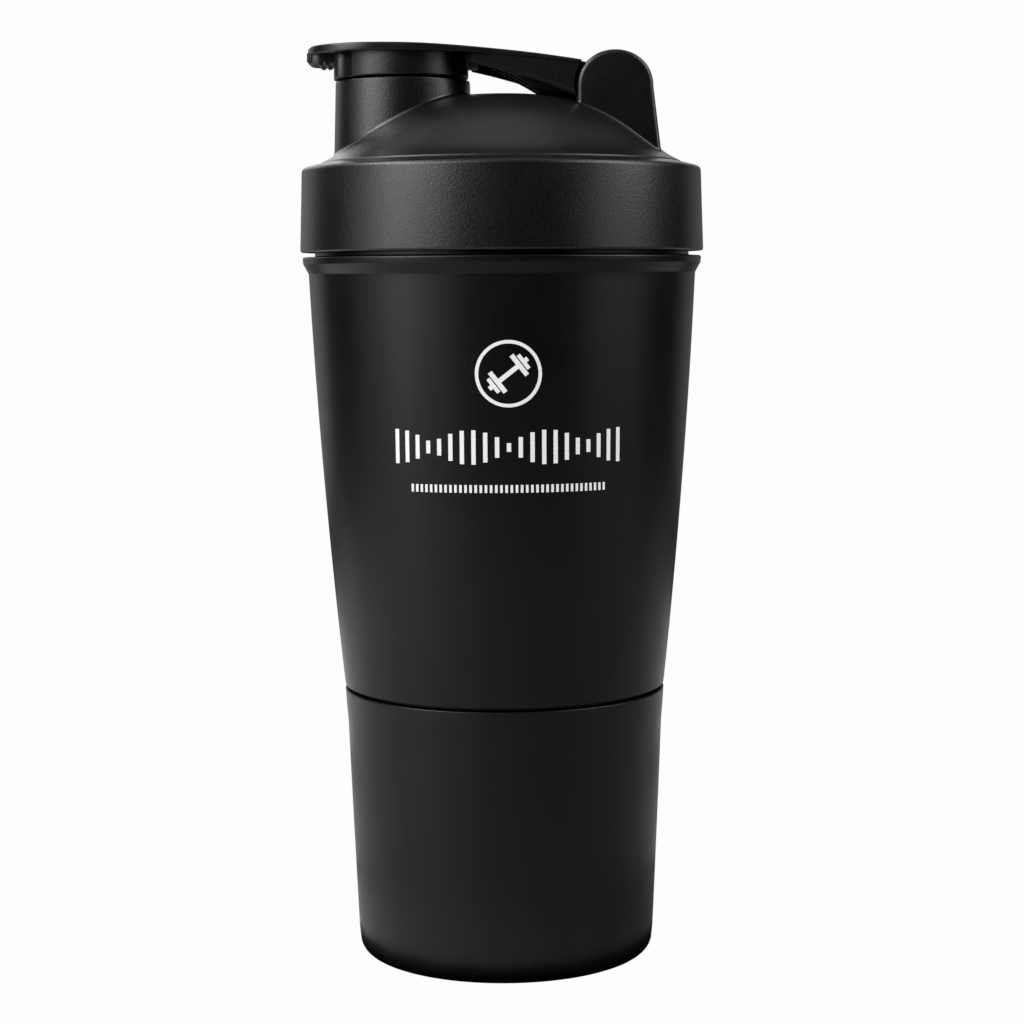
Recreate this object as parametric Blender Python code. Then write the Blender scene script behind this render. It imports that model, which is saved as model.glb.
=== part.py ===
"""Protein shaker bottle: a storage jar, a main cup and a screw lid with a flip cap.

The origin is the centre of the base on the surface it stands on, +Z is up,
the spout is on -X and the cap's hinge is on +X.
Dimensions are in millimetres and become metres where a mesh is made.
"""
from math import cos, pi, radians, sin, sqrt

import bmesh
import bpy
from mathutils import Matrix
from numpy import interp

MM = 0.001
SEGMENTS = 40
GAP = 0.3
WELD = 0.000005

# storage jar
JAR_BASE_RADIUS = 36.8
JAR_LIP_RADIUS = 39.73
JAR_HEIGHT = 66.6
BASE_EDGE_RADIUS = 4.4
JAR_WALL = 1.9
JAR_FLOOR = 2.4
FOOT_RECESS_RADIUS = 27.0
FOOT_RECESS_DEPTH = 0.9

# main cup
CUP_BOTTOM = 67.6
CUP_FOOT_RADIUS = 39.7
CUP_TOP_RADIUS = 47.3
FLANGE_RADIUS = 48.9
CREASE_Z = 168.9
FLANGE_TOP = 173.0
NECK_RADIUS = 45.8
RIM_Z = 189.7
CUP_BORE_RADIUS = 44.2
CUP_WALL = 2.1
COLLAR_RADIUS = 36.1
COLLAR_BOTTOM = 56.0
COLLAR_WALL = 2.0

# screw threads: radii of the crests, starts, lead and where the turns run
JAR_BORE_RADIUS = 37.5
JAR_THREAD = {"starts": 2, "lead": 8.0, "male_crest": 37.1, "female_crest": 36.5}
LID_BORE_RADIUS = 47.7
LID_THREAD = {"starts": 3, "lead": 12.0, "male_crest": 47.1, "female_crest": 46.4}
THREAD_ROOT_WIDTH = 1.7
THREAD_CREST_WIDTH = 0.8

# lid
LID_BOTTOM = 173.85
BAND_RADIUS = 49.36
BAND_TOP_RADIUS = 48.7
BAND_CORNER = 1.3
BAND_CORNER_Z = 193.15
SHOULDER_RADIUS = 44.3
SHOULDER_Z = 195.5
LID_ROOF = 192.4
PLUG_OUTER = 43.9
PLUG_INNER = 42.6
PLUG_BOTTOM = 184.0
DOME_WALL = 2.2
DOME_TOP = 212.2
DOME_RADII = (0.0, 7.0, 13.0, 18.0, 22.0, 26.0, 30.0, 34.0, 38.0, 41.0, 42.5, 43.8)
DOME_HEIGHTS = (212.2, 212.06, 211.6, 210.75, 209.58, 207.9, 205.65, 202.75, 199.5, 197.35, 196.5, 195.85)
GROOVE_DEPTH = 0.35

# spout
SPOUT_X = -23.9
SPOUT_RADIUS = 16.35
SPOUT_FOOT_RADIUS = 17.0
SPOUT_BORE = 14.6
SPOUT_LIP = 215.5

# hinge
HINGE_X = 27.2
HINGE_Z = 213.8
EAR_LEFT = 18.3
EAR_RIGHT_TOP = 36.5
EAR_RIGHT_FOOT = 38.5
EAR_FOOT = 196.5
EAR_SPRING_Z = 213.0
EAR_PEAK = 221.8
EAR_INNER = 10.4
EAR_OUTER = 14.5
PIN_RADIUS = 1.6
PIN_HALF = 12.7

# flip cap
PLATE_RADIUS = 17.6
PLATE_THICKNESS = 1.8
PLATE_PEAK = 223.55
PLATE_PEAK_X = -30.0
HEAD_X = -29.4
TAB_TIP_X = -47.0
ARM_HALF_WIDTH = 14.3
ARM_WEB = (12.3, 13.9)
ARM_RIM = (12.1, 14.1)
NECK_HALF_WIDTH = 9.98
SHOULDER_CUT_RADIUS = 9.6
CHEEK = (8.2, 9.8)
SKIRT_RADIUS = 16.0
SKIRT_BOTTOM = 216.0
PAD_HALF_ANGLE = radians(46.2)
PLUG_RADIUS = 12.9
PLUG_DEPTH = 212.2
KNUCKLE_RADIUS = 5.3
KNUCKLE_HALF = 10.1

# seals and strainer
LID_GASKET = {"inner": 44.3, "outer": 46.2, "bottom": 190.0, "top": 192.1}
JAR_GASKET = {"inner": 36.5, "outer": 38.4, "bottom": 66.9, "top": 68.0}
SPOUT_SEAL = {"inner": 13.2, "outer": 14.3, "bottom": 212.6, "top": 215.5}
STRAINER_OUTER = 42.2
STRAINER_RING = 1.8
STRAINER_BOTTOM = 184.3
STRAINER_TOP = 189.2
GRID_Z = 185.2
GRID_THICKNESS = 1.4
GRID_PITCH = 8.2
GRID_BAR = 1.7

BLACK_PLASTIC = {"colour": (0.012, 0.012, 0.013), "roughness": 0.42, "metallic": 0.0}
GRAINED_PLASTIC = {"colour": (0.013, 0.013, 0.014), "roughness": 0.5, "metallic": 0.0}
SILICONE = {"colour": (0.03, 0.03, 0.032), "roughness": 0.65, "metallic": 0.0}
STRAINER_PLASTIC = {"colour": (0.02, 0.02, 0.022), "roughness": 0.4, "metallic": 0.0}
STEEL = {"colour": (0.6, 0.6, 0.62), "roughness": 0.25, "metallic": 1.0}


def clear_scene():
    for obj in list(bpy.data.objects):
        bpy.data.objects.remove(obj, do_unlink=True)


def make_material(name, look):
    material = bpy.data.materials.new(name)
    material.use_nodes = True
    shader = material.node_tree.nodes["Principled BSDF"]
    shader.inputs["Base Color"].default_value = (*look["colour"], 1.0)
    shader.inputs["Roughness"].default_value = look["roughness"]
    shader.inputs["Metallic"].default_value = look["metallic"]
    return material


def make_object(name, bm):
    """Turn a bmesh in millimetres into a scene object in metres."""
    bmesh.ops.recalc_face_normals(bm, faces=bm.faces)
    bmesh.ops.scale(bm, vec=(MM, MM, MM), verts=bm.verts)
    mesh = bpy.data.meshes.new(name)
    bm.to_mesh(mesh)
    bm.free()
    obj = bpy.data.objects.new(name, mesh)
    bpy.context.scene.collection.objects.link(obj)
    return obj


def revolve(profile, x=0.0, segments=SEGMENTS):
    """Turn a closed (radius, z) outline about the vertical axis at x."""
    bm = bmesh.new()
    rings = []
    for radius, z in profile:
        if radius == 0:
            rings.append([bm.verts.new((x, 0, z))])
            continue
        ring = []
        for k in range(segments):
            angle = 2 * pi * k / segments
            ring.append(bm.verts.new((x + radius * cos(angle), radius * sin(angle), z)))
        rings.append(ring)
    for lower, upper in zip(rings, rings[1:] + rings[:1]):
        if len(lower) == 1 and len(upper) == 1:
            continue
        for k in range(segments):
            n = (k + 1) % segments
            corners = [lower[k % len(lower)], lower[n % len(lower)]]
            corners += [upper[n % len(upper)], upper[k % len(upper)]]
            bm.faces.new(list(dict.fromkeys(corners)))
    return bm


def extrude_outline(outline, low, high, axis):
    """Extrude a closed 2-D outline: along Z from (x, y) points, or along Y from (x, z) points."""
    bm = bmesh.new()
    layers = []
    for level in (low, high):
        if axis == "Z":
            layers.append([bm.verts.new((u, v, level)) for u, v in outline])
        else:
            layers.append([bm.verts.new((u, level, v)) for u, v in outline])
    bm.faces.new(layers[0])
    bm.faces.new(layers[1][::-1])
    for k in range(len(outline)):
        n = (k + 1) % len(outline)
        bm.faces.new([layers[0][k], layers[0][n], layers[1][n], layers[1][k]])
    return bm


def circle(x, z, radius, segments=24):
    """Points (x, z) round a circle."""
    outline = []
    for k in range(segments):
        angle = 2 * pi * k / segments
        outline.append((x + radius * cos(angle), z + radius * sin(angle)))
    return outline


def cross_cylinder(x, z, radius, half_length):
    """A cylinder along Y, centred on y = 0."""
    return extrude_outline(circle(x, z, radius), -half_length, half_length, "Y")


def combine(target, tool, operation):
    """Apply one exact Boolean to target and remove the tool."""
    modifier = target.modifiers.new("combine", "BOOLEAN")
    modifier.operation = operation
    modifier.solver = "EXACT"
    modifier.object = tool
    bpy.context.view_layer.update()
    shape = target.evaluated_get(bpy.context.evaluated_depsgraph_get())
    mesh = bpy.data.meshes.new_from_object(shape)
    target.modifiers.remove(modifier)
    target.data = mesh
    bpy.data.objects.remove(tool, do_unlink=True)
    # weld the cut's edges and split its large faces, so that the next Boolean starts clean
    bm = bmesh.new()
    bm.from_mesh(mesh)
    bmesh.ops.remove_doubles(bm, verts=bm.verts, dist=WELD)
    bmesh.ops.dissolve_degenerate(bm, edges=bm.edges, dist=WELD)
    bmesh.ops.triangulate(bm, faces=bm.faces)
    bm.to_mesh(mesh)
    bm.free()


def finish(obj, name, material):
    """Name the object, give it its material and shade it smooth."""
    obj.name = name
    obj.data.name = name
    obj.data.materials.clear()
    obj.data.materials.append(material)
    obj.data.shade_smooth()
    obj.data.set_sharp_from_angle(angle=radians(35))
    return obj


def arc(centre_r, centre_z, radius, start, end, steps):
    """Points of a circular arc in an outline, from start to end degrees."""
    points = []
    for k in range(steps + 1):
        angle = radians(start + (end - start) * k / steps)
        points.append((centre_r + radius * cos(angle), centre_z + radius * sin(angle)))
    return points


def smooth(t):
    """A smooth step from 0 to 1."""
    t = min(max(t, 0.0), 1.0)
    return t * t * (3 - 2 * t)


def thread_ridge(root, crest, z, start, sweep, lead):
    """One helical ridge of trapezoidal section, from root radius to crest radius."""
    bm = bmesh.new()
    step = 2 * pi / SEGMENTS
    sections = []
    for k in range(round(sweep / step) + 1):
        # half a step off the walls' own edges
        angle = start + (k + 0.5) * step
        level = z + lead * (k + 0.5) * step / (2 * pi)
        half_root = THREAD_ROOT_WIDTH / 2
        half_crest = THREAD_CREST_WIDTH / 2
        outline = [(root, -half_root), (crest, -half_crest), (crest, half_crest), (root, half_root)]
        ring = []
        for radius, dz in outline:
            ring.append(bm.verts.new((radius * cos(angle), radius * sin(angle), level + dz)))
        sections.append(ring)
    for first, second in zip(sections, sections[1:]):
        for k in range(4):
            n = (k + 1) % 4
            bm.faces.new([first[k], first[n], second[n], second[k]])
    bm.faces.new(sections[0][::-1])
    bm.faces.new(sections[-1])
    # the flanks are twisted, so they are split into flat triangles before a Boolean
    bmesh.ops.triangulate(bm, faces=bm.faces)
    return bm


def add_thread(target, thread, root, crest, z, phase, sweep):
    """Join the ridges of every start of a screw thread to target."""
    for start in range(thread["starts"]):
        angle = phase + start * 2 * pi / thread["starts"]
        ridge = thread_ridge(root, crest, z, angle, sweep, thread["lead"])
        combine(target, make_object("ridge", ridge), "UNION")


def dome_height(radius):
    """Outer height of the lid's dome: a soft crown, a straight flank and a concave foot."""
    return float(interp(radius, DOME_RADII, DOME_HEIGHTS))


def jar_radius(z):
    """Outer radius of the jar wall: a straight draft with a slight belly."""
    t = z / JAR_HEIGHT
    return JAR_BASE_RADIUS - 0.15 + 3.1 * t - 0.35 * t * t


def cup_radius(z):
    """Outer radius of the cup wall: it flares, then straightens below the flange."""
    t = (z - CUP_BOTTOM) / (CREASE_Z - CUP_BOTTOM)
    return CUP_FOOT_RADIUS + 10.3 * t - 2.7 * t * t


def build_storage_jar(material):
    edge = BASE_EDGE_RADIUS
    outer = arc(jar_radius(edge) - edge, edge, edge, -90, 0, 5)
    outer += [(jar_radius(z), z) for z in (20.0, 35.0, 50.0, 62.0)]
    outer += [(JAR_LIP_RADIUS, JAR_HEIGHT - 0.9), (JAR_LIP_RADIUS - 0.5, JAR_HEIGHT)]
    inner = [(JAR_BORE_RADIUS, JAR_HEIGHT), (JAR_BORE_RADIUS, 53.0)]
    inner += [(jar_radius(z) - JAR_WALL, z) for z in (49.0, 30.0, 9.0)]
    inner += arc(jar_radius(7.0) - JAR_WALL - 4.0, JAR_FLOOR + FOOT_RECESS_DEPTH + 4.0, 4.0, -20, -90, 3)
    floor = [(0, JAR_FLOOR + FOOT_RECESS_DEPTH), (0, FOOT_RECESS_DEPTH)]
    foot = [(FOOT_RECESS_RADIUS - 0.6, FOOT_RECESS_DEPTH), (FOOT_RECESS_RADIUS, 0)]
    jar = make_object("storage_jar", revolve(outer + inner + floor + foot))
    add_thread(jar, JAR_THREAD, JAR_BORE_RADIUS + 0.5, JAR_THREAD["female_crest"], 57.7, 0.0, radians(120))
    return finish(jar, "storage_jar", material)


def build_main_cup(material):
    wall = [(cup_radius(z), z) for z in (80.0, 95.0, 110.0, 125.0, 140.0, 155.0)]
    outer = [(CUP_FOOT_RADIUS - 0.7, CUP_BOTTOM), (CUP_FOOT_RADIUS, CUP_BOTTOM + 0.8)] + wall
    outer += [(CUP_TOP_RADIUS, CREASE_Z), (FLANGE_RADIUS - 0.2, 171.2), (FLANGE_RADIUS, 172.0)]
    outer += [(FLANGE_RADIUS - 0.7, FLANGE_TOP), (NECK_RADIUS, FLANGE_TOP), (NECK_RADIUS, RIM_Z - 0.6)]
    outer += [(NECK_RADIUS - 0.5, RIM_Z)]
    inner = [(CUP_BORE_RADIUS + 0.2, RIM_Z), (CUP_BORE_RADIUS, 150.0)]
    inner += [(cup_radius(z) - CUP_WALL, z) for z in (142.0, 120.0, 95.0)]
    inner += [(cup_radius(70.0) - CUP_WALL, 71.0), (COLLAR_RADIUS - COLLAR_WALL, 67.5)]
    floor_top = COLLAR_BOTTOM + 2.4
    inner += arc(COLLAR_RADIUS - COLLAR_WALL - 3.0, floor_top + 3.0, 3.0, 0, -90, 3)
    base = [(0, floor_top), (0, COLLAR_BOTTOM), (COLLAR_RADIUS - 0.8, COLLAR_BOTTOM)]
    base += [(COLLAR_RADIUS, COLLAR_BOTTOM + 0.8), (COLLAR_RADIUS, JAR_GASKET["top"] + GAP)]
    base += [(JAR_GASKET["outer"] + GAP, JAR_GASKET["top"] + GAP), (JAR_GASKET["outer"] + GAP, CUP_BOTTOM)]
    cup = make_object("main_cup", revolve(outer + inner + base))
    # each male ridge lies half a pitch from the female ridges it runs between
    jar_pitch = JAR_THREAD["lead"] / JAR_THREAD["starts"]
    lower_root = COLLAR_RADIUS - 0.5
    add_thread(cup, JAR_THREAD, lower_root, JAR_THREAD["male_crest"], 57.7 + jar_pitch / 2, 0.0, radians(150))
    upper_root = NECK_RADIUS - 0.5
    add_thread(cup, LID_THREAD, upper_root, LID_THREAD["male_crest"], 179.4, 0.0, radians(195))
    return finish(cup, "main_cup", material)


def ring_profile(size):
    return [
        (size["outer"], size["bottom"]),
        (size["outer"], size["top"]),
        (size["inner"], size["top"]),
        (size["inner"], size["bottom"]),
    ]


def build_gasket(name, size, material, x=0.0):
    return finish(make_object(name, revolve(ring_profile(size), x)), name, material)


def ear_outline():
    """Side outline of a hinge ear: a straight front edge, a round head and a sloping back."""
    half = (EAR_RIGHT_TOP - EAR_LEFT) / 2
    outline = [(EAR_LEFT, EAR_FOOT)]
    for k in range(13):
        angle = pi - pi * k / 12
        x = (EAR_LEFT + EAR_RIGHT_TOP) / 2 + half * cos(angle)
        outline.append((x, EAR_SPRING_Z + (EAR_PEAK - EAR_SPRING_Z) * sin(angle)))
    outline.append((EAR_RIGHT_FOOT, EAR_FOOT))
    return outline


def lid_outer_profile():
    """Band with a rounded foot, a sloping shoulder, a fine groove and the dome."""
    profile = [(0, LID_BOTTOM), (BAND_RADIUS - 1.05, LID_BOTTOM), (BAND_RADIUS - 0.3, LID_BOTTOM + 0.3)]
    profile += [(BAND_RADIUS, LID_BOTTOM + 1.05), (49.0, 186.0)]
    profile += arc(BAND_TOP_RADIUS - BAND_CORNER, BAND_CORNER_Z, BAND_CORNER, 0, 72, 4)
    profile += [(SHOULDER_RADIUS, SHOULDER_Z), (SHOULDER_RADIUS - 0.2, SHOULDER_Z - GROOVE_DEPTH)]
    profile += list(zip(DOME_RADII, DOME_HEIGHTS))[::-1]
    return profile


def lid_cavity_profile():
    profile = [(0, LID_BOTTOM - 2.0), (LID_BORE_RADIUS, LID_BOTTOM - 2.0), (LID_BORE_RADIUS, LID_ROOF)]
    profile += [(PLUG_OUTER, LID_ROOF), (PLUG_OUTER, PLUG_BOTTOM), (PLUG_INNER, PLUG_BOTTOM)]
    profile += [(PLUG_INNER, 193.0)]
    for radius in (41.0, 38.0, 34.0, 28.0, 22.0, 15.0, 8.0):
        profile.append((radius, dome_height(radius) - DOME_WALL))
    return profile + [(0, DOME_TOP - DOME_WALL)]


def build_lid_shell(material):
    lid = make_object("lid_shell", revolve(lid_outer_profile()))
    spout = [(0, 195.0), (SPOUT_FOOT_RADIUS, 195.0), (SPOUT_RADIUS, SPOUT_LIP - 0.4)]
    spout += [(SPOUT_RADIUS - 0.5, SPOUT_LIP), (0, SPOUT_LIP)]
    combine(lid, make_object("spout", revolve(spout, SPOUT_X)), "UNION")
    for side in (-1, 1):
        low, high = sorted((side * EAR_INNER, side * EAR_OUTER))
        combine(lid, make_object("ear", extrude_outline(ear_outline(), low, high, "Y")), "UNION")
    combine(lid, make_object("cavity", revolve(lid_cavity_profile())), "DIFFERENCE")
    bore = [(0, 186.0), (SPOUT_BORE, 186.0), (SPOUT_BORE, SPOUT_LIP + 3.0), (0, SPOUT_LIP + 3.0)]
    combine(lid, make_object("bore", revolve(bore, SPOUT_X)), "DIFFERENCE")
    socket = cross_cylinder(HINGE_X, HINGE_Z, PIN_RADIUS + GAP, PIN_HALF + GAP)
    combine(lid, make_object("sockets", socket), "DIFFERENCE")
    # the female ridges lie under the cup's, half a pitch lower
    pitch = LID_THREAD["lead"] / LID_THREAD["starts"]
    root = LID_BORE_RADIUS + 0.5
    add_thread(lid, LID_THREAD, root, LID_THREAD["female_crest"], 179.4 - pitch / 2, 0.0, radians(120))
    return finish(lid, "lid_shell", material)


def plate_half_width(x):
    """Half the width of the arm's plate, which narrows from the round head to the ears' width."""
    return ARM_HALF_WIDTH + (PLATE_RADIUS - ARM_HALF_WIDTH) * (1 - smooth((x - SPOUT_X) / 24.0))


def plate_outline():
    """Plan of the top plate from the thumb tab's tip to the hinge."""
    side = []
    for angle in range(176, 90, -12):
        side.append((HEAD_X + PLATE_RADIUS * cos(radians(angle)), PLATE_RADIUS * sin(radians(angle))))
    steps = 14
    for k in range(steps + 1):
        x = SPOUT_X + (HINGE_X - 1.0 - SPOUT_X) * k / steps
        side.append((x, plate_half_width(x)))
    return side + [(x, -y) for x, y in reversed(side)]


def plate_top(x):
    """Height of the plate's top: level over the head, with a round nose at the tip, then falling to the hinge."""
    nose = max(1.0 - (x - TAB_TIP_X) / 2.0, 0.0)
    return PLATE_PEAK - 0.00169 * max(x - PLATE_PEAK_X, 0.0) ** 2 - 0.6 * min(nose, 1.0) ** 2


def arch_height(x):
    """Underside of the arm: an arch that falls from the spout to the hinge."""
    return 219.3 - 0.2 * (x + 9.0) - 0.004 * (x + 9.0) ** 2


def strip_outline(first, last, steps, top, bottom):
    """Closed (x, z) outline between two height functions."""
    xs = [first + (last - first) * k / steps for k in range(steps + 1)]
    return [(x, bottom(x)) for x in xs] + [(x, top(x)) for x in reversed(xs)]


def build_plate():
    plate = make_object("plate", extrude_outline(plate_outline(), 200.0, 240.0, "Z"))
    stations = [TAB_TIP_X + step for step in (-1.0, 0.0, 0.5, 1.0, 2.0, 8.0, 15.0)]
    stations += [SPOUT_X + (HINGE_X - SPOUT_X) * k / 14 for k in range(15)]
    side = [(x, plate_top(x) - PLATE_THICKNESS) for x in stations]
    side += [(x, plate_top(x)) for x in reversed(stations)]
    combine(plate, make_object("side", extrude_outline(side, -30.0, 30.0, "Y")), "INTERSECT")
    return plate


def add_strip(cap, outline, bounds):
    """Add an upright strip with the (x, z) outline on both sides of the arm."""
    for side in (-1, 1):
        low, high = sorted((side * bounds[0], side * bounds[1]))
        combine(cap, make_object("strip", extrude_outline(outline, low, high, "Y")), "UNION")


def add_arm(cap):
    """The arm is an open channel: a web and a rim along each edge, and a wall across next to the skirt."""
    start, end = -8.4, 20.0
    wall = [(-8.6, arch_height(-8.0)), (-7.0, arch_height(-8.0)), (-7.0, 221.6), (-8.6, 221.6)]
    combine(cap, make_object("wall", extrude_outline(wall, -13.2, 13.2, "Y")), "UNION")
    web = strip_outline(start, end, 8, lambda x: plate_top(x) - 0.6, lambda x: arch_height(x) + 0.1)
    add_strip(cap, web, ARM_WEB)
    rim = strip_outline(start - 0.3, end, 8, lambda x: arch_height(x) + 1.1, arch_height)
    add_strip(cap, rim, ARM_RIM)
    # the arm's shoulders end on a cylinder round the hinge, so they pass over the ears
    for low, high in ((-20.0, -NECK_HALF_WIDTH), (NECK_HALF_WIDTH, 20.0)):
        cut = extrude_outline(circle(HINGE_X, HINGE_Z, SHOULDER_CUT_RADIUS, 48), low, high, "Y")
        combine(cap, make_object("shoulder_cut", cut), "DIFFERENCE")


def add_hub(cap):
    """Three ribs between the ears carry the hinge knuckle, just clear of the dome."""
    under = [(-2.0, 219.2), (2.9, 216.4), (6.7, 214.3), (9.2, 212.8), (12.0, 212.45), (16.0, 211.8)]
    under += [(20.0, 210.9), (23.5, 209.9), (25.5, 210.5)]
    outline = under + [(x, plate_top(x) - 0.7) for x in (25.5, 20.0, 14.0, 8.0, 2.0, -2.0)]
    add_strip(cap, outline, CHEEK)
    combine(cap, make_object("rib", extrude_outline(outline, -0.8, 0.8, "Y")), "UNION")
    knuckle = cross_cylinder(HINGE_X, HINGE_Z, KNUCKLE_RADIUS, KNUCKLE_HALF)
    combine(cap, make_object("knuckle", knuckle), "UNION")


def add_thumb_tab(cap):
    """Grip block under the tab, rising to the tip, with ribs across it."""
    top = plate_top(-44.0) - 0.7
    plan = [(TAB_TIP_X + 0.3, -3.9), (TAB_TIP_X + 1.6, -6.5), (-39.6, -6.5)]
    block = make_object("grip", extrude_outline(plan + [(x, -y) for x, y in reversed(plan)], 215.0, top, "Z"))
    side = [(-50.0, 221.3), (-46.5, 219.7), (-45.6, 219.45), (-38.0, 219.4)]
    side += [(-38.0, 225.0), (-50.0, 225.0)]
    combine(block, make_object("slope", extrude_outline(side, -10.0, 10.0, "Y")), "INTERSECT")
    combine(cap, block, "UNION")
    for x in (-43.6, -42.0):
        rib = [(x - 0.55, -6.2), (x + 0.55, -6.2), (x + 0.55, 6.2), (x - 0.55, 6.2)]
        combine(cap, make_object("rib", extrude_outline(rib, 219.0, 219.8, "Z")), "UNION")


def add_pad(cap):
    """Thick block in front of the skirt, under the tab."""
    half = [(-34.35, 10.9), (-37.3, 10.9), (-38.7, 10.3), (-39.6, 9.0), (-40.3, 5.5), (-40.7, 2.0)]
    outline = half + [(x, -y) for x, y in reversed(half)]
    for k in range(1, 8):
        angle = pi + PAD_HALF_ANGLE * (1 - k / 4)
        outline.append((SPOUT_X + 15.1 * cos(angle), 15.1 * sin(angle)))
    combine(cap, make_object("pad", extrude_outline(outline, 215.8, 221.8, "Z")), "UNION")


def build_flip_cap(material):
    cap = build_plate()
    skirt = [(0, SKIRT_BOTTOM), (SKIRT_RADIUS, SKIRT_BOTTOM), (SKIRT_RADIUS, 222.2), (0, 222.2)]
    combine(cap, make_object("skirt", revolve(skirt, SPOUT_X)), "UNION")
    add_pad(cap)
    plug = [(0, PLUG_DEPTH), (PLUG_RADIUS + 0.4, PLUG_DEPTH), (PLUG_RADIUS + 0.4, SPOUT_SEAL["bottom"] - GAP)]
    plug += [(PLUG_RADIUS, SPOUT_SEAL["bottom"] - GAP + 0.2), (PLUG_RADIUS, 217.0), (0, 217.0)]
    combine(cap, make_object("plug", revolve(plug, SPOUT_X)), "UNION")
    relief = [(0, 205.0), (PLUG_RADIUS - 1.8, 205.0), (PLUG_RADIUS - 2.1, 219.6), (0, 219.6)]
    combine(cap, make_object("relief", revolve(relief, SPOUT_X)), "DIFFERENCE")
    add_thumb_tab(cap)
    add_arm(cap)
    add_hub(cap)
    bore = cross_cylinder(HINGE_X, HINGE_Z, PIN_RADIUS + GAP, KNUCKLE_HALF + 1.0)
    combine(cap, make_object("pin_bore", bore), "DIFFERENCE")
    return finish(cap, "flip_cap", material)


def build_hinge_pin(material):
    pin = make_object("hinge_pin", cross_cylinder(HINGE_X, HINGE_Z, PIN_RADIUS, PIN_HALF))
    return finish(pin, "hinge_pin", material)


def build_strainer(material):
    """A grid of crossing bars, trimmed round and joined to a rim ring."""
    bars = round(STRAINER_OUTER / GRID_PITCH)
    low, high = GRID_Z, GRID_Z + GRID_THICKNESS
    edges = []
    for k in range(-bars, bars + 1):
        edges += [k * GRID_PITCH - GRID_BAR / 2, k * GRID_PITCH + GRID_BAR / 2]
    bm = bmesh.new()
    layers = {}
    for level in (low, high):
        for i, x in enumerate(edges):
            for j, y in enumerate(edges):
                layers[level, i, j] = bm.verts.new((x, y, level))
    for i in range(len(edges) - 1):
        for j in range(len(edges) - 1):
            if i % 2 == 1 and j % 2 == 1:
                continue
            corners = ((i, j), (i + 1, j), (i + 1, j + 1), (i, j + 1))
            for level in (low, high):
                bm.faces.new([layers[level, a, b] for a, b in corners])
    rim_edges = [edge for edge in bm.edges if len(edge.link_faces) == 1]
    pairs = {}
    for edge in rim_edges:
        a, b = edge.verts
        key = tuple(sorted(((round(a.co.x, 3), round(a.co.y, 3)), (round(b.co.x, 3), round(b.co.y, 3)))))
        pairs.setdefault(key, []).append((a, b))
    for (a, b), (c, d) in pairs.values():
        if (a.co - c.co).length > (a.co - d.co).length:
            c, d = d, c
        bm.faces.new([a, b, d, c])
    grid = make_object("strainer", bm)
    trim_radius = STRAINER_OUTER - STRAINER_RING / 2
    trim = [(0, low - 2.0), (trim_radius, low - 2.0), (trim_radius, high + 2.0), (0, high + 2.0)]
    combine(grid, make_object("trim", revolve(trim)), "INTERSECT")
    ring = {"outer": STRAINER_OUTER, "inner": STRAINER_OUTER - STRAINER_RING}
    ring.update({"bottom": STRAINER_BOTTOM, "top": STRAINER_TOP})
    combine(grid, make_object("ring", revolve(ring_profile(ring))), "UNION")
    return finish(grid, "strainer", material)


def set_origin(obj, x, y, z):
    """Move an object's origin to a point in millimetres without moving its shape."""
    offset = Matrix.Translation((-x * MM, -y * MM, -z * MM))
    obj.data.transform(offset)
    obj.location = (x * MM, y * MM, z * MM)


def parent_keep(child, parent):
    bpy.context.view_layer.update()
    child.parent = parent
    child.matrix_parent_inverse = parent.matrix_world.inverted()


def main():
    clear_scene()
    body = make_material("body_plastic", BLACK_PLASTIC)
    lid_plastic = make_material("lid_plastic", GRAINED_PLASTIC)
    silicone = make_material("silicone", SILICONE)
    grid_plastic = make_material("strainer_plastic", STRAINER_PLASTIC)
    steel = make_material("pin_steel", STEEL)

    jar = build_storage_jar(body)
    jar_gasket = build_gasket("jar_gasket", JAR_GASKET, silicone)
    cup = build_main_cup(body)
    lid_gasket = build_gasket("lid_gasket", LID_GASKET, silicone)
    lid = build_lid_shell(lid_plastic)
    strainer = build_strainer(grid_plastic)
    cap = build_flip_cap(lid_plastic)
    seal = build_gasket("spout_seal", SPOUT_SEAL, silicone, SPOUT_X)
    pin = build_hinge_pin(steel)

    for obj in (cap, seal, pin):
        set_origin(obj, HINGE_X, 0.0, HINGE_Z)
    parents = ((jar_gasket, jar), (cup, jar_gasket), (lid_gasket, cup), (lid, lid_gasket))
    parents += ((strainer, lid), (cap, lid), (seal, cap), (pin, cap))
    for child, parent in parents:
        parent_keep(child, parent)


main()
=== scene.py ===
"""Looks of the protein shaker bottle: fine moulded surfaces, materials, studio light and camera."""
from math import acos, atan2, cos, exp, pi, radians, sin, sqrt, tan

import bmesh
import bpy
import numpy as np
from mathutils import Matrix, Vector


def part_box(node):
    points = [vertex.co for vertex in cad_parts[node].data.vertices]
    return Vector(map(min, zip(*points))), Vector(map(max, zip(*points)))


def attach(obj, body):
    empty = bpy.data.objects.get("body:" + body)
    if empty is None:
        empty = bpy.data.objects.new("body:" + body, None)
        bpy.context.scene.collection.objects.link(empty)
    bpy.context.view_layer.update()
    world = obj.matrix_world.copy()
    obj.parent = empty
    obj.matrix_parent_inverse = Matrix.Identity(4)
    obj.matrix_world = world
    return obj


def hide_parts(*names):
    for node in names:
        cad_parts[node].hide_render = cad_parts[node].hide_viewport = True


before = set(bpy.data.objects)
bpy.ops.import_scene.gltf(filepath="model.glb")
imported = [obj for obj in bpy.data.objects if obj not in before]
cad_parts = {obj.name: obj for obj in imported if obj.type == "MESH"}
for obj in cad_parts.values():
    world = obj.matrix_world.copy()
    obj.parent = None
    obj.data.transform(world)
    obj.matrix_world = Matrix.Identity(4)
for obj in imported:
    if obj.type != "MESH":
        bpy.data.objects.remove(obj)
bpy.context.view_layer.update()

# Lengths are in millimetres until a mesh is made.
MM = 0.001
FINE = 256
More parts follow.
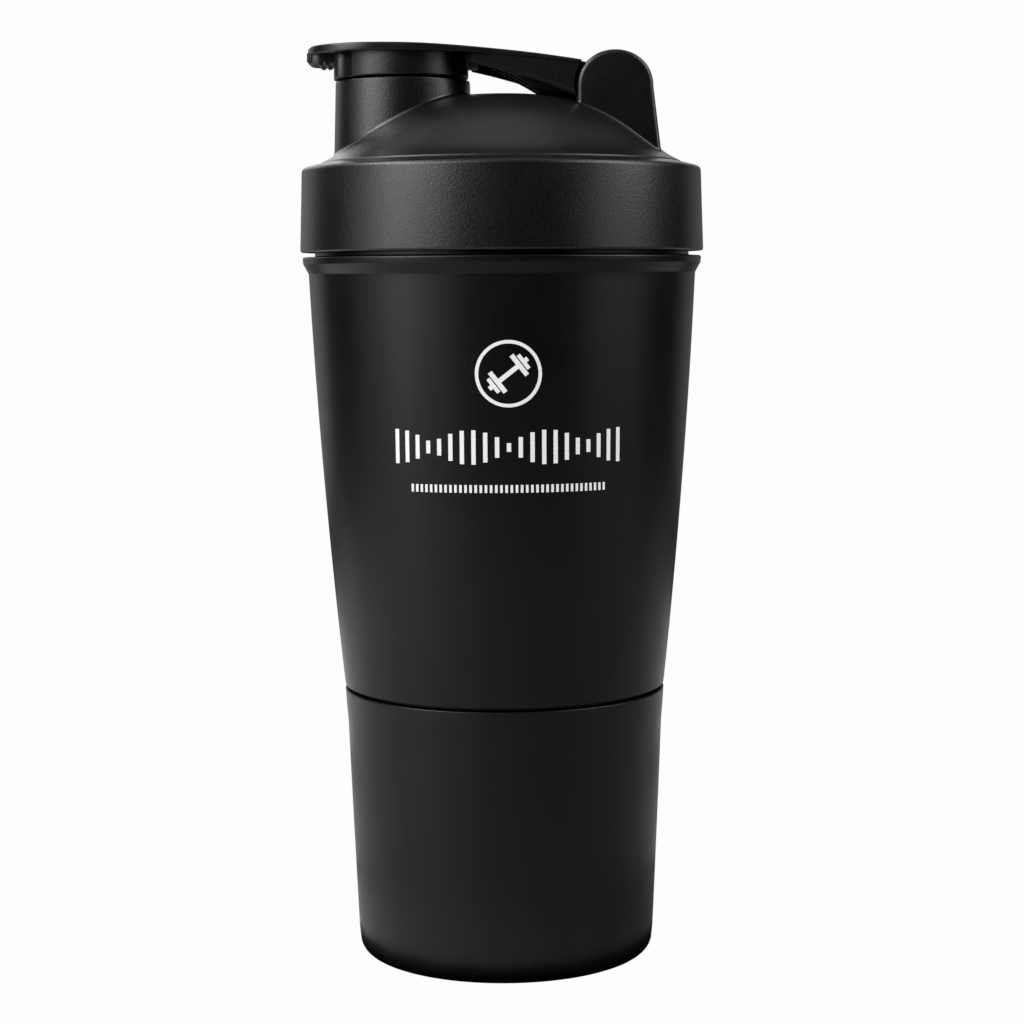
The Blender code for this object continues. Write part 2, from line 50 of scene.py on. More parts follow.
CURVE_STEP = radians(9)
SMOOTH_ANGLE = 40

# storage jar
JAR_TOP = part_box("storage_jar")[1][2] / MM
JAR_BASE_RADIUS = 36.8
JAR_LIP_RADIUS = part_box("storage_jar")[1][0] / MM
BASE_EDGE_RADIUS = 4.4
JAR_WALL = 1.9
JAR_FLOOR = 2.4
JAR_BORE_RADIUS = 37.5
FOOT_RECESS_RADIUS = 27.0
FOOT_RECESS_DEPTH = 0.9

# main cup
CUP_BOTTOM = 67.6
CUP_FOOT_RADIUS = 39.7
CREASE_Z = 168.9
CREASE_RADIUS = 47.4
FLANGE_TOP = 173.0
FLANGE_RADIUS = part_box("main_cup")[1][0] / MM
NECK_RADIUS = 45.8
RIM_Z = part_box("main_cup")[1][2] / MM
CUP_BORE_RADIUS = 44.2
CUP_WALL = 2.1
COLLAR_RADIUS = 36.1
COLLAR_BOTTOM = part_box("main_cup")[0][2] / MM
COLLAR_WALL = 2.0

# screw threads
JAR_THREAD = {"starts": 2, "lead": 8.0, "male_crest": 37.1, "female_crest": 36.5}
LID_THREAD = {"starts": 3, "lead": 12.0, "male_crest": 47.1, "female_crest": 46.4}
THREAD_ROOT_WIDTH = 1.7
THREAD_CREST_WIDTH = 0.8
JAR_THREAD_Z = 57.8
LID_THREAD_Z = 179.55
# a ridge's sections run past its sweep by one step of the CAD's circle, and change height over FADE
RUN_OUT = 2 * pi / 40
FADE = radians(12)

# lid
LID_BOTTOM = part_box("lid_shell")[0][2] / MM
BAND_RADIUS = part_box("lid_shell")[1][0] / MM
BAND_TOP_RADIUS = 48.75
BAND_CORNER = 1.3
SHOULDER_RADIUS = 44.3
SHOULDER_Z = 195.5
LID_BORE_RADIUS = 47.7
LID_ROOF = 192.4
PLUG_OUTER = 43.9
PLUG_INNER = 42.6
PLUG_BOTTOM = 184.0
DOME_WALL = 2.2
DOME_POINTS = (
    (0, 212.2), (9, 211.95), (18, 210.75), (26, 207.9),
    (33, 203.5), (38, 199.5), (41, 197.35), (43.8, 195.85),
)
DOME_END_SLOPE = -0.5
GROOVE_DEPTH = 0.15

# spout
SPOUT_X = -23.9
SPOUT_RADIUS = 16.35
SPOUT_FOOT_RADIUS = 17.0
SPOUT_FOOT = 195.0
SPOUT_BORE = 14.6
SPOUT_LIP = 215.5
SPOUT_FILLET = 0.8

# hinge
HINGE_X = 27.2
HINGE_Z = 213.8
EAR_LEFT = 18.3
EAR_RIGHT_TOP = 36.5
EAR_RIGHT_FOOT = 38.5
EAR_FOOT = 196.5
EAR_SPRING_Z = 213.0
EAR_PEAK = 221.8
EAR_INNER = 10.4
EAR_OUTER = 14.5
EAR_FILLET = 0.7
EAR_OUTER_EDGE = 1.15
EAR_INNER_EDGE = 0.5
EAR_BACK_FOOT = (37.6, 12.5)
PIN_RADIUS = 1.6
KNUCKLE_HOLE = 1.75
SOCKET_RADIUS = 1.9
PIN_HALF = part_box("hinge_pin")[1][1] / MM

# flip cap
PLATE_RADIUS = 17.6
PLATE_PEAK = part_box("flip_cap")[1][2] / MM
TAB_TIP_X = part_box("flip_cap")[0][0] / MM
HEAD_X = TAB_TIP_X + PLATE_RADIUS
PLATE_PEAK_X = -30.0
PLATE_CROWN = 0.00169
PLATE_TAPER_LENGTH = 24.0
NOSE_DROP = 0.6
NOSE_LENGTH = 2.0
ARM_HALF_WIDTH = 14.3
ARM_WEB = (12.3, 13.9)
ARM_RIM = (12.1, 14.1)
NECK_HALF_WIDTH = 9.98
SHOULDER_CUT_RADIUS = 9.6
CHEEK = (8.2, 9.8)
SKIRT_RADIUS = 16.0
SKIRT_BOTTOM = 216.0
PAD_HALF_ANGLE = radians(46.2)
PAD_INNER_RADIUS = 15.1
PAD_BOTTOM = 215.8
PAD_TOP = 221.7
TAB_HALF_WIDTH = 6.6
TAB_CORNER = 3.4
TAB_TOP = 222.3
TAB_UNDERSIDE = ((-47.1, 220.3), (-46.8, 219.85), (-46.3, 219.5), (-45.6, 219.4), (-39.0, 219.35))
PLUG_RADIUS = 12.9
PLUG_DEPTH = 212.2
KNUCKLE_RADIUS = 5.3
KNUCKLE_HALF = 10.1

# print
PRINT_CENTRE = 1.5
PRINT_THICKNESS = 0.06
ICON_Z = 146.0
ICON_RADIUS = 7.7
ICON_STROKE = 0.8
ICON_TILT = radians(38)
HANDLE_HALF_LENGTH = 2.6
HANDLE_HALF_WIDTH = 0.55
# inner end, outer end and half height of each weight of the dumbbell, and of the bar's stub
WEIGHTS = ((2.6, 3.7, 2.9), (3.95, 4.85, 2.0), (4.85, 5.6, 0.55))
BARS = 21
BARS_Z = 129.1
BARS_REACH = 27.2
BAR_HALF_WIDTH = 0.5
TICKS = 40
TICKS_BOTTOM = 118.6
TICKS_TOP = 120.4
TICKS_REACH = 23.2
TICK_HALF_WIDTH = 0.3

# seals and strainer
LID_GASKET = {"inner": 44.3, "outer": 46.2, "bottom": 190.0, "top": 192.1}
JAR_GASKET = {"inner": 36.5, "outer": 38.4, "bottom": 66.9, "top": 68.0}
SPOUT_SEAL = {"inner": 13.2, "outer": 14.3, "bottom": 212.6, "top": 215.5}


# ---------------------------------------------------------------- shapes

def mesh_object(name, verts, faces, smooth_angle=SMOOTH_ANGLE):
    """A mesh object from points in millimetres and faces, shaded smooth below an angle in degrees."""
    mesh = bpy.data.meshes.new(name)
    mesh.from_pydata([Vector(v) * MM for v in verts], [], faces)
    mesh.validate()
    return link_mesh(name, mesh, smooth_angle)


def place_mesh(name, mesh, smooth_angle):
    """A new object with this mesh, shaded smooth below an angle in degrees."""
    mesh.shade_smooth()
    mesh.set_sharp_from_angle(angle=radians(smooth_angle))
    obj = bpy.data.objects.new(name, mesh)
    bpy.context.scene.collection.objects.link(obj)
    return obj


def link_mesh(name, mesh, smooth_angle=SMOOTH_ANGLE):
    """A new object with this mesh, its faces turned outward."""
    bm = bmesh.new()
    bm.from_mesh(mesh)
    bmesh.ops.recalc_face_normals(bm, faces=bm.faces)
    bm.to_mesh(mesh)
    bm.free()
    return place_mesh(name, mesh, smooth_angle)


def join(name, parts):
    """Join objects into one that keeps the first one's place."""
    bm = bmesh.new()
    for part in parts:
        bm.from_mesh(part.data)
        bpy.data.objects.remove(part, do_unlink=True)
    mesh = bpy.data.meshes.new(name)
    bm.to_mesh(mesh)
    bm.free()
    return place_mesh(name, mesh, SMOOTH_ANGLE)


def boolean(target, tool, operation):
    """Cut the tool from the target or add it to it, and remove the tool."""
    modifier = target.modifiers.new("cut", "BOOLEAN")
    modifier.operation = operation
    modifier.solver = "EXACT"
    modifier.object = tool
    bpy.context.view_layer.update()
    shape = target.evaluated_get(bpy.context.evaluated_depsgraph_get())
    mesh = bpy.data.meshes.new_from_object(shape)
    target.modifiers.remove(modifier)
    target.data = mesh
    bpy.data.objects.remove(tool, do_unlink=True)


def rounded(corners):
    """A closed 2-D outline from (u, v, radius) corners, with an arc at each corner that has a radius."""
    points = []
    count = len(corners)
    for k, (u, v, radius) in enumerate(corners):
        here = Vector((u, v))
        if radius <= 0:
            points.append((u, v))
            continue
        before = Vector(corners[k - 1][:2]) - here
        after = Vector(corners[(k + 1) % count][:2]) - here
        a, b = before.normalized(), after.normalized()
        turn = acos(max(-1.0, min(1.0, a.dot(b))))
        reach = min(radius / tan(turn / 2), before.length * 0.49, after.length * 0.49)
        size = reach * tan(turn / 2)
        centre = here + (a + b).normalized() * (size / sin(turn / 2))
        start = here + a * reach - centre
        end = here + b * reach - centre
        sweep = (atan2(end.y, end.x) - atan2(start.y, start.x) + pi) % (2 * pi) - pi
        steps = max(2, round(abs(sweep) / CURVE_STEP))
        for n in range(steps + 1):
            angle = atan2(start.y, start.x) + sweep * n / steps
            points.append((centre.x + size * cos(angle), centre.y + size * sin(angle)))
    return points


def lathe(name, outline, x=0.0):
    """Turn a closed (radius, z) outline about the vertical axis at x."""
    verts, rings = [], []
    for radius, z in outline:
        if radius < 1e-6:
            rings.append([len(verts)] * FINE)
            verts.append((x, 0, z))
            continue
        rings.append(range(len(verts), len(verts) + FINE))
        for k in range(FINE):
            angle = 2 * pi * k / FINE
            verts.append((x + radius * cos(angle), radius * sin(angle), z))
    faces = []
    for lower, upper in zip(rings, rings[1:] + rings[:1]):
        for k in range(FINE):
            n = (k + 1) % FINE
            corners = list(dict.fromkeys((lower[k], lower[n], upper[n], upper[k])))
            if len(corners) > 2:
                faces.append(corners)
    return mesh_object(name, verts, faces)


def extrude(name, outline, low, high, axis="Z", edge=0.0):
    """Extrude a closed outline along Z from (x, y) points, or along Y from (x, z) points.

    An edge above zero rounds the rims.
    """
    bm = bmesh.new()
    layers = []
    for level in (low, high):
        if axis == "Z":
            layers.append([bm.verts.new((u, v, level)) for u, v in outline])
        else:
            layers.append([bm.verts.new((u, level, v)) for u, v in outline])
    caps = [bm.faces.new(layers[0]), bm.faces.new(layers[1][::-1])]
    for k in range(len(outline)):
        n = (k + 1) % len(outline)
        bm.faces.new([layers[0][k], layers[0][n], layers[1][n], layers[1][k]])
    bmesh.ops.recalc_face_normals(bm, faces=bm.faces)
    if edge:
        rims = list({rim for cap in caps for rim in cap.edges})
        bmesh.ops.bevel(
            bm, geom=rims, offset=edge, segments=4, profile=0.5, affect="EDGES", clamp_overlap=True,
        )
    bmesh.ops.scale(bm, vec=(MM, MM, MM), verts=bm.verts)
    mesh = bpy.data.meshes.new(name)
    bm.to_mesh(mesh)
    bm.free()
    return link_mesh(name, mesh)


def tube(name, sections):
    """A closed skin over rings of equal size, capped at both ends."""
    verts, faces = [], []
    size = len(sections[0])
    for section in sections:
        verts += section
    for s in range(len(sections) - 1):
        for k in range(size):
            n = (k + 1) % size
            a, b = s * size, (s + 1) * size
            faces.append((a + k, a + n, b + n, b + k))
    faces.append(tuple(range(size)))
    faces.append(tuple(range(len(verts) - size, len(verts))))
    return mesh_object(name, verts, faces)


def spline(points, end_slope):
    """A smooth height function through (x, y) points, level at the first one and sloped at the last."""
    xs = np.array([p[0] for p in points], float)
    ys = np.array([p[1] for p in points], float)
    gaps = np.diff(xs)
    count = len(xs)
    matrix, right = np.zeros((count, count)), np.zeros(count)
    matrix[0, 0] = 1
    for k in range(1, count - 1):
        matrix[k, k - 1] = 1 / gaps[k - 1]
        matrix[k, k] = 2 / gaps[k - 1] + 2 / gaps[k]
        matrix[k, k + 1] = 1 / gaps[k]
        right[k] = 3 * (ys[k] - ys[k - 1]) / gaps[k - 1] ** 2 + 3 * (ys[k + 1] - ys[k]) / gaps[k] ** 2
    matrix[-1, -1] = 1
    right[-1] = end_slope
    slopes = np.linalg.solve(matrix, right)

    def value(x):
        k = int(np.clip(np.searchsorted(xs, x) - 1, 0, count - 2))
        t = (x - xs[k]) / gaps[k]
        a = ys[k] * (1 + 2 * t) * (1 - t) ** 2 + ys[k + 1] * t * t * (3 - 2 * t)
        return a + gaps[k] * (slopes[k] * t * (1 - t) ** 2 + slopes[k + 1] * t * t * (t - 1))

    return value


def smooth(t):
    """An even step from 0 to 1, level at both ends."""
    t = min(max(t, 0.0), 1.0)
    return t * t * (3 - 2 * t)


def spaced(first, last, count):
    """Evenly spaced values over count gaps, both ends included."""
    return [first + (last - first) * k / count for k in range(count + 1)]


def thread_ridges(name, thread, root, crest, z, sweep):
    """The helical ridges of every start, meant to fade out at both ends.

    Known fault: only the sections with the fewest points are kept, and those lie at a ridge's two ends.
    The middle of the ridge is lost, and long faces join its ends straight across the inside.
    """
    ridges = []
    steps = round(sweep / (2 * pi / FINE))
    for start in range(thread["starts"]):
        sections = []
        for k in range(steps + 1):
            turn = (sweep + RUN_OUT) * k / steps
            angle = start * 2 * pi / thread["starts"] + turn
            level = z + thread["lead"] * turn / (2 * pi)
            fade = smooth(min(turn, sweep + RUN_OUT - turn) / FADE)
            top = root + (crest - root) * (0.35 + 0.65 * fade)
            corners = [(root, -THREAD_ROOT_WIDTH / 2, 0), (top, -THREAD_CREST_WIDTH / 2, 0.25)]
            corners += [(top, THREAD_CREST_WIDTH / 2, 0.25), (root, THREAD_ROOT_WIDTH / 2, 0)]
            outline = rounded(corners)
            sections.append([(r * cos(angle), r * sin(angle), level + dz) for r, dz in outline])
        size = min(len(s) for s in sections)
        sections = [s for s in sections if len(s) == size]
        ridges.append(tube(name, sections))
    return ridges


# ---------------------------------------------------------------- pieces

def jar_radius(z):
    t = z / JAR_TOP
    return JAR_BASE_RADIUS - 0.15 + 3.1 * t - 0.35 * t * t


def cup_radius(z):
    t = (z - CUP_BOTTOM) / (CREASE_Z - CUP_BOTTOM)
    return CUP_FOOT_RADIUS + 10.6 * t - 2.9 * t * t


dome_height = spline(DOME_POINTS, DOME_END_SLOPE)


def make_jar():
    corners = [(FOOT_RECESS_RADIUS, 0, 0.4), (jar_radius(0) - 0.3, 0, BASE_EDGE_RADIUS)]
    corners += [(jar_radius(z), z, 0) for z in spaced(6.0, 58.0, 14)]
    corners += [(JAR_LIP_RADIUS - 0.3, 62.2, 3.0), (JAR_LIP_RADIUS - 0.03, JAR_TOP, 0.25)]
    corners += [(JAR_BORE_RADIUS, JAR_TOP, 0.4), (JAR_BORE_RADIUS, 53.0, 1.0)]
    corners += [(jar_radius(z) - JAR_WALL, z, 0) for z in spaced(48.0, 12.0, 8)]
    corners += [(jar_radius(6.0) - JAR_WALL, JAR_FLOOR + FOOT_RECESS_DEPTH, 4.0)]
    corners += [(0, JAR_FLOOR + FOOT_RECESS_DEPTH, 0), (0, FOOT_RECESS_DEPTH, 0)]
    corners += [(FOOT_RECESS_RADIUS - 0.5, FOOT_RECESS_DEPTH, 0.3)]
    shell = lathe("jar_shell", rounded(corners))
    root, crest = JAR_BORE_RADIUS + 0.5, JAR_THREAD["female_crest"]
    ridges = thread_ridges("jar_ridge", JAR_THREAD, root, crest, JAR_THREAD_Z, radians(120))
    return join("jar_body", [shell] + ridges)


def make_cup():
    floor_top = COLLAR_BOTTOM + 2.4
    gasket_seat = JAR_GASKET["top"] + 0.3
    corners = [(CUP_FOOT_RADIUS - 0.05, CUP_BOTTOM, 0.15)]
    corners += [(cup_radius(z), z, 0) for z in spaced(69.4, 166.5, 26)]
    corners += [(CREASE_RADIUS, CREASE_Z, 0.8), (FLANGE_RADIUS - 0.2, 171.3, 0.8)]
    corners += [(FLANGE_RADIUS, FLANGE_TOP, 0.5), (NECK_RADIUS, FLANGE_TOP, 0.3)]
    corners += [(NECK_RADIUS, RIM_Z, 0.6), (CUP_BORE_RADIUS + 0.2, RIM_Z, 0.5)]
    corners += [(CUP_BORE_RADIUS, 150.0, 4.0)]
    corners += [(cup_radius(z) - CUP_WALL, z, 0) for z in spaced(140.0, 76.0, 10)]
    corners += [(cup_radius(70.0) - CUP_WALL, 70.5, 2.0), (COLLAR_RADIUS - COLLAR_WALL, 67.0, 1.5)]
    corners += [(COLLAR_RADIUS - COLLAR_WALL, floor_top, 3.0), (0, floor_top, 0), (0, COLLAR_BOTTOM, 0)]
    corners += [(COLLAR_RADIUS, COLLAR_BOTTOM, 0.8), (COLLAR_RADIUS, gasket_seat, 0)]
    seat_radius = JAR_GASKET["outer"] + 0.3
    corners += [(seat_radius, gasket_seat, 0), (seat_radius, CUP_BOTTOM, 0.2)]
    shell = lathe("cup_shell", rounded(corners))
    jar_pitch = JAR_THREAD["lead"] / JAR_THREAD["starts"]
    root, crest = COLLAR_RADIUS - 0.5, JAR_THREAD["male_crest"]
    lower = thread_ridges("ridge", JAR_THREAD, root, crest, JAR_THREAD_Z + jar_pitch / 2, radians(150))
    root, crest = NECK_RADIUS - 0.5, LID_THREAD["male_crest"]
    upper = thread_ridges("ridge", LID_THREAD, root, crest, LID_THREAD_Z, radians(195))
    return join("cup_body", [shell] + lower + upper)


def make_ring(name, size, edge, x=0.0):
    corners = [(size["outer"], size["bottom"], edge), (size["outer"], size["top"], edge)]
    corners += [(size["inner"], size["top"], edge), (size["inner"], size["bottom"], edge)]
    return lathe(name, rounded(corners), x)


def ear_outline():
    half = (EAR_RIGHT_TOP - EAR_LEFT) / 2
    outline = [(EAR_LEFT, EAR_FOOT)]
    for k in range(49):
        angle = pi - pi * k / 48
        x = (EAR_LEFT + EAR_RIGHT_TOP) / 2 + half * cos(angle)
        outline.append((x, EAR_SPRING_Z + (EAR_PEAK - EAR_SPRING_Z) * sin(angle) ** 0.92))
    outline.append((EAR_RIGHT_FOOT, EAR_FOOT))
    return outline


def lid_outline():
    corners = [(0, LID_BOTTOM + 0.25, 0), (BAND_RADIUS + 0.02, LID_BOTTOM + 0.25, 0.6)]
    corners += [(49.0, 186.0, 60)]
    corners += [(BAND_TOP_RADIUS, 194.35, BAND_CORNER), (SHOULDER_RADIUS, SHOULDER_Z, 0.25)]
    corners += [(SHOULDER_RADIUS - 0.22, SHOULDER_Z - GROOVE_DEPTH, 0.12)]
    corners += [(43.8, dome_height(43.8), 0.2)]
    corners += [(r, dome_height(r), 0) for r in spaced(43.3, 0.6, 60)]
    return rounded(corners + [(0, dome_height(0), 0)])


def lid_cavity_outline():
    corners = [(0, LID_BOTTOM - 2, 0), (LID_BORE_RADIUS, LID_BOTTOM - 2, 0)]
    corners += [(LID_BORE_RADIUS, LID_ROOF, 0.8), (PLUG_OUTER, LID_ROOF, 0.4)]
    corners += [(PLUG_OUTER, PLUG_BOTTOM, 0.4), (PLUG_INNER, PLUG_BOTTOM, 0.4), (PLUG_INNER, 193.4, 1.0)]
    corners += [(r, dome_height(r) - DOME_WALL, 0) for r in spaced(41.0, 1.0, 24)]
    return rounded(corners + [(0, dome_height(0) - DOME_WALL, 0)])


def fillet_strip(name, path, radius, smooth_angle=60):
    """A concave fillet where vertical walls meet the dome, round a path of (x, y, outward x, outward y)."""
    sections = []
    for x, y, nx, ny in path:
        section = []
        for k in range(9):
            d = radius * (1 - cos(radians(90) * k / 8))
            px, py = x + nx * d, y + ny * d
            rise = radius - sqrt(max(radius ** 2 - (radius - d) ** 2, 0.0))
            section.append((px, py, dome_height(sqrt(px * px + py * py)) + rise + 0.004))
        bx, by = x - nx * 0.3, y - ny * 0.3
        section.append((bx, by, dome_height(sqrt(bx * bx + by * by)) - 0.5))
        sections.append(section)
    verts, faces = [v for s in sections for v in s], []
    size = len(sections[0])
    for s in range(len(sections)):
        a, b = s * size, (s + 1) % len(sections) * size
        for k in range(size):
            n = (k + 1) % size
            faces.append((a + k, a + n, b + n, b + k))
    return mesh_object(name, verts, faces, smooth_angle)


def spout_radius(z):
    return SPOUT_RADIUS + (SPOUT_FOOT_RADIUS - SPOUT_RADIUS) * (SPOUT_LIP - z) / (SPOUT_LIP - SPOUT_FOOT)


def spout_path():
    path = []
    for k in range(FINE):
        angle = 2 * pi * k / FINE
        radius = SPOUT_RADIUS
        for _ in range(3):
            x, y = SPOUT_X + radius * cos(angle), radius * sin(angle)
            radius = spout_radius(dome_height(sqrt(x * x + y * y)))
        path.append((SPOUT_X + radius * cos(angle), radius * sin(angle), cos(angle), sin(angle)))
    return path


def ear_path(side):
    """Round the foot of an ear, with its rounded corners."""
    def back(z):
        t = (EAR_SPRING_Z - z) / (EAR_SPRING_Z - EAR_FOOT)
        return EAR_RIGHT_TOP + (EAR_RIGHT_FOOT - EAR_RIGHT_TOP) * t
    foot_x, foot_y = EAR_BACK_FOOT
    right = back(dome_height(sqrt(foot_x ** 2 + foot_y ** 2)))
    low, high = sorted((side * EAR_INNER, side * EAR_OUTER))
    edges = (EAR_OUTER_EDGE, EAR_INNER_EDGE)
    big, small = edges if side > 0 else edges[::-1]
    corners = [(EAR_LEFT, low, small), (right, low, small), (right, high, big), (EAR_LEFT, high, big)]
    outline = rounded(corners)
    dense = []
    for k, (x, y) in enumerate(outline):
        nx, ny = outline[(k + 1) % len(outline)]
        steps = max(1, round(sqrt((nx - x) ** 2 + (ny - y) ** 2) / 0.5))
        dense += [(x + (nx - x) * s / steps, y + (ny - y) * s / steps) for s in range(steps)]
    path = []
    for k, (x, y) in enumerate(dense):
        (ax, ay), (bx, by) = dense[k - 1], dense[(k + 1) % len(dense)]
        tx, ty = bx - ax, by - ay
        length = sqrt(tx * tx + ty * ty)
        path.append((x, y, ty / length, -tx / length))
    return path


def make_ear(side):
    low, high = sorted((side * EAR_INNER, side * EAR_OUTER))
    bm = bmesh.new()
    outline = ear_outline()
    near = [bm.verts.new((x, low, z)) for x, z in outline]
    far = [bm.verts.new((x, high, z)) for x, z in outline]
    low_cap, high_cap = bm.faces.new(near), bm.faces.new(far[::-1])
    for k in range(len(outline)):
        n = (k + 1) % len(outline)
        bm.faces.new([near[k], near[n], far[n], far[k]])
    bmesh.ops.recalc_face_normals(bm, faces=bm.faces)
    outer, inner = (high_cap, low_cap) if side > 0 else (low_cap, high_cap)
    outer_rim, inner_rim = list(outer.edges), list(inner.edges)
    bmesh.ops.bevel(bm, geom=outer_rim, offset=EAR_OUTER_EDGE, segments=6, profile=0.5, affect="EDGES")
    inner_rim = [edge for edge in inner_rim if edge.is_valid]
    bmesh.ops.bevel(bm, geom=inner_rim, offset=EAR_INNER_EDGE, segments=4, profile=0.5, affect="EDGES")
    bmesh.ops.scale(bm, vec=(MM, MM, MM), verts=bm.verts)
    mesh = bpy.data.meshes.new("ear")
    bm.to_mesh(mesh)
    bm.free()
    return link_mesh("ear", mesh)


def make_lid():
    lid = lathe("lid_core", lid_outline())
    spout = [(0, SPOUT_FOOT, 0), (SPOUT_FOOT_RADIUS, SPOUT_FOOT, 0)]
    spout += [(SPOUT_RADIUS, SPOUT_LIP, 0.4), (0, SPOUT_LIP, 0)]
    boolean(lid, lathe("spout", rounded(spout), SPOUT_X), "UNION")
    for side in (-1, 1):
        boolean(lid, make_ear(side), "UNION")
    boolean(lid, lathe("cavity", lid_cavity_outline()), "DIFFERENCE")
    bore = [(0, 186), (SPOUT_BORE, 186), (SPOUT_BORE, SPOUT_LIP - 0.5), (SPOUT_BORE + 0.9, SPOUT_LIP + 0.4)]
    boolean(lid, lathe("bore", bore + [(0, SPOUT_LIP + 0.4)], SPOUT_X), "DIFFERENCE")
    socket = circle(HINGE_X, HINGE_Z, SOCKET_RADIUS, 48)
    boolean(lid, extrude("sockets", socket, -PIN_HALF - 0.3, PIN_HALF + 0.3, "Y"), "DIFFERENCE")
    parts = [lid, fillet_strip("fillet", spout_path(), SPOUT_FILLET)]
    parts += [fillet_strip("fillet", ear_path(side), EAR_FILLET) for side in (-1, 1)]
    pitch = LID_THREAD["lead"] / LID_THREAD["starts"]
    root, crest = LID_BORE_RADIUS + 0.5, LID_THREAD["female_crest"]
    parts += thread_ridges("ridge", LID_THREAD, root, crest, LID_THREAD_Z - pitch / 2, radians(120))
    return join("lid_moulding", parts)


def plate_half_width(x):
    """Half the plate's width: a round head, then a slow taper to the ears' width."""
    if x >= SPOUT_X:
        taper = 1 - smooth((x - SPOUT_X) / PLATE_TAPER_LENGTH)
        return ARM_HALF_WIDTH + (PLATE_RADIUS - ARM_HALF_WIDTH) * taper
    return sqrt(max(PLATE_RADIUS ** 2 - max(HEAD_X - x, 0.0) ** 2, 0.0))


def plate_top(x):
    nose = min(max(1.0 - (x - TAB_TIP_X) / NOSE_LENGTH, 0.0), 1.0)
    return PLATE_PEAK - PLATE_CROWN * max(x - PLATE_PEAK_X, 0.0) ** 2 - NOSE_DROP * nose ** 2


def plate_thickness(x):
    return 1.86 - 0.023 * max(x - SPOUT_X, 0.0)


def arch_height(x):
    return 219.3 - 0.2 * (x + 9.0) - 0.004 * (x + 9.0) ** 2


def plate_section(x, half):
    top = plate_top(x)
    bottom = top - plate_thickness(x)
    inset = 0.5 * (1 - sqrt(max(1 - (1 - min((x - TAB_TIP_X) / 0.5, 1.0)) ** 2, 0.0)))
    corners = [(-half + inset, bottom + inset, 0.3), (half - inset, bottom + inset, 0.3)]
    corners += [(half - inset, top - inset, 0.45), (-half + inset, top - inset, 0.45)]
    return section_points(x, corners)


def make_plate():
    """The top plate from the tab's tip to the shoulders, and its neck between the ears."""
    stations = [TAB_TIP_X + PLATE_RADIUS * (1 - cos(pi / 2 * k / 60)) for k in range(1, 60)]
    stations += spaced(HEAD_X, 22.0, 90)
    plate = tube("plate", [plate_section(x, plate_half_width(x)) for x in stations])
    neck = tube("neck", [plate_section(x, NECK_HALF_WIDTH) for x in spaced(12.0, HINGE_X - 1.0, 24)])
    cut_shoulders(plate)
    return [plate, neck]


def circle(x, z, radius, steps):
    return [(x + radius * cos(a), z + radius * sin(a)) for a in spaced(0, 2 * pi, steps)[:-1]]


def cut_shoulders(obj):
    """End a strip of the arm on a cylinder round the hinge, clear of the ears."""
    outline = circle(HINGE_X, HINGE_Z, SHOULDER_CUT_RADIUS, 160)
    boolean(obj, extrude("cut", outline, -30, 30, "Y"), "DIFFERENCE")


def section_points(x, corners):
    """A ring of equal point count at x from four (y, z, radius) corners."""
    ring = []
    centre_z = sum(c[1] for c in corners) / 4
    for y, z, radius in corners:
        sy, sz = (1 if y > 0 else -1), (1 if z > centre_z else -1)
        radius = min(radius, abs(y) * 0.9, abs(z - centre_z) * 0.9)
        cy, cz = y - sy * radius, z - sz * radius
        start = {(-1, -1): 180, (1, -1): 270, (1, 1): 0, (-1, 1): 90}[sy, sz]
        for k in range(6):
            angle = radians(start + 90 * k / 5)
            ring.append((x, cy + radius * cos(angle), cz + radius * sin(angle)))
    return ring


def round_strip(name, xs, low, high, bottom, top, radius):
    """A strip along the arm with rounded long edges, from height functions."""
    rings = []
    for x in xs:
        middle = (low + high) / 2
        corners = [(low, bottom(x)), (high, bottom(x)), (high, top(x)), (low, top(x))]
        ring = section_points(x, [(y - middle, z, radius) for y, z in corners])
        rings.append([(px, py + middle, pz) for px, py, pz in ring])
    return tube(name, rings)


def web_bottom(x):
    return arch_height(x) + 0.2


def web_top(x):
    return plate_top(x) - 0.5


def rim_top(x):
    return arch_height(x) + 1.1


def make_arm():
    """Webs and rims along the arm's edges, the wall by the skirt and the ribs that carry the knuckle."""
    parts = []
    for side in (-1, 1):
        low, high = sorted((side * ARM_WEB[0], side * ARM_WEB[1]))
        parts.append(round_strip("web", spaced(-7.0, 21.0, 60), low, high, web_bottom, web_top, 0.2))
        low, high = sorted((side * ARM_RIM[0], side * ARM_RIM[1]))
        parts.append(round_strip("rim", spaced(-7.3, 21.0, 60), low, high, arch_height, rim_top, 0.35))
        for strip in parts[-2:]:
            cut_shoulders(strip)
    wall = rounded([(-8.4, 219.0, 0.3), (-5.6, 218.9, 0.3), (-5.6, 221.6, 0), (-8.4, 221.6, 0)])
    parts.append(extrude("wall", wall, -9.5, 9.5, "Y"))
    under = [(-2.0, 219.2, 0), (2.9, 216.4, 4), (6.7, 214.3, 4), (9.2, 212.8, 1.5), (12.0, 212.45, 4)]
    under += [(16.0, 211.8, 4), (20.0, 210.9, 4), (23.5, 209.9, 0), (25.5, 210.5, 0)]
    under += [(x, plate_top(x) - 0.7, 0) for x in (25.5, 20.0, 14.0, 8.0, 2.0, -2.0)]
    for low, high in ((-CHEEK[1], -CHEEK[0]), (-0.8, 0.8), CHEEK):
        parts.append(extrude("rib", rounded(under), low, high, "Y", edge=0.2))
    return parts


def tab_bottom(x):
    return float(np.interp(x, [p[0] for p in TAB_UNDERSIDE], [p[1] for p in TAB_UNDERSIDE]))


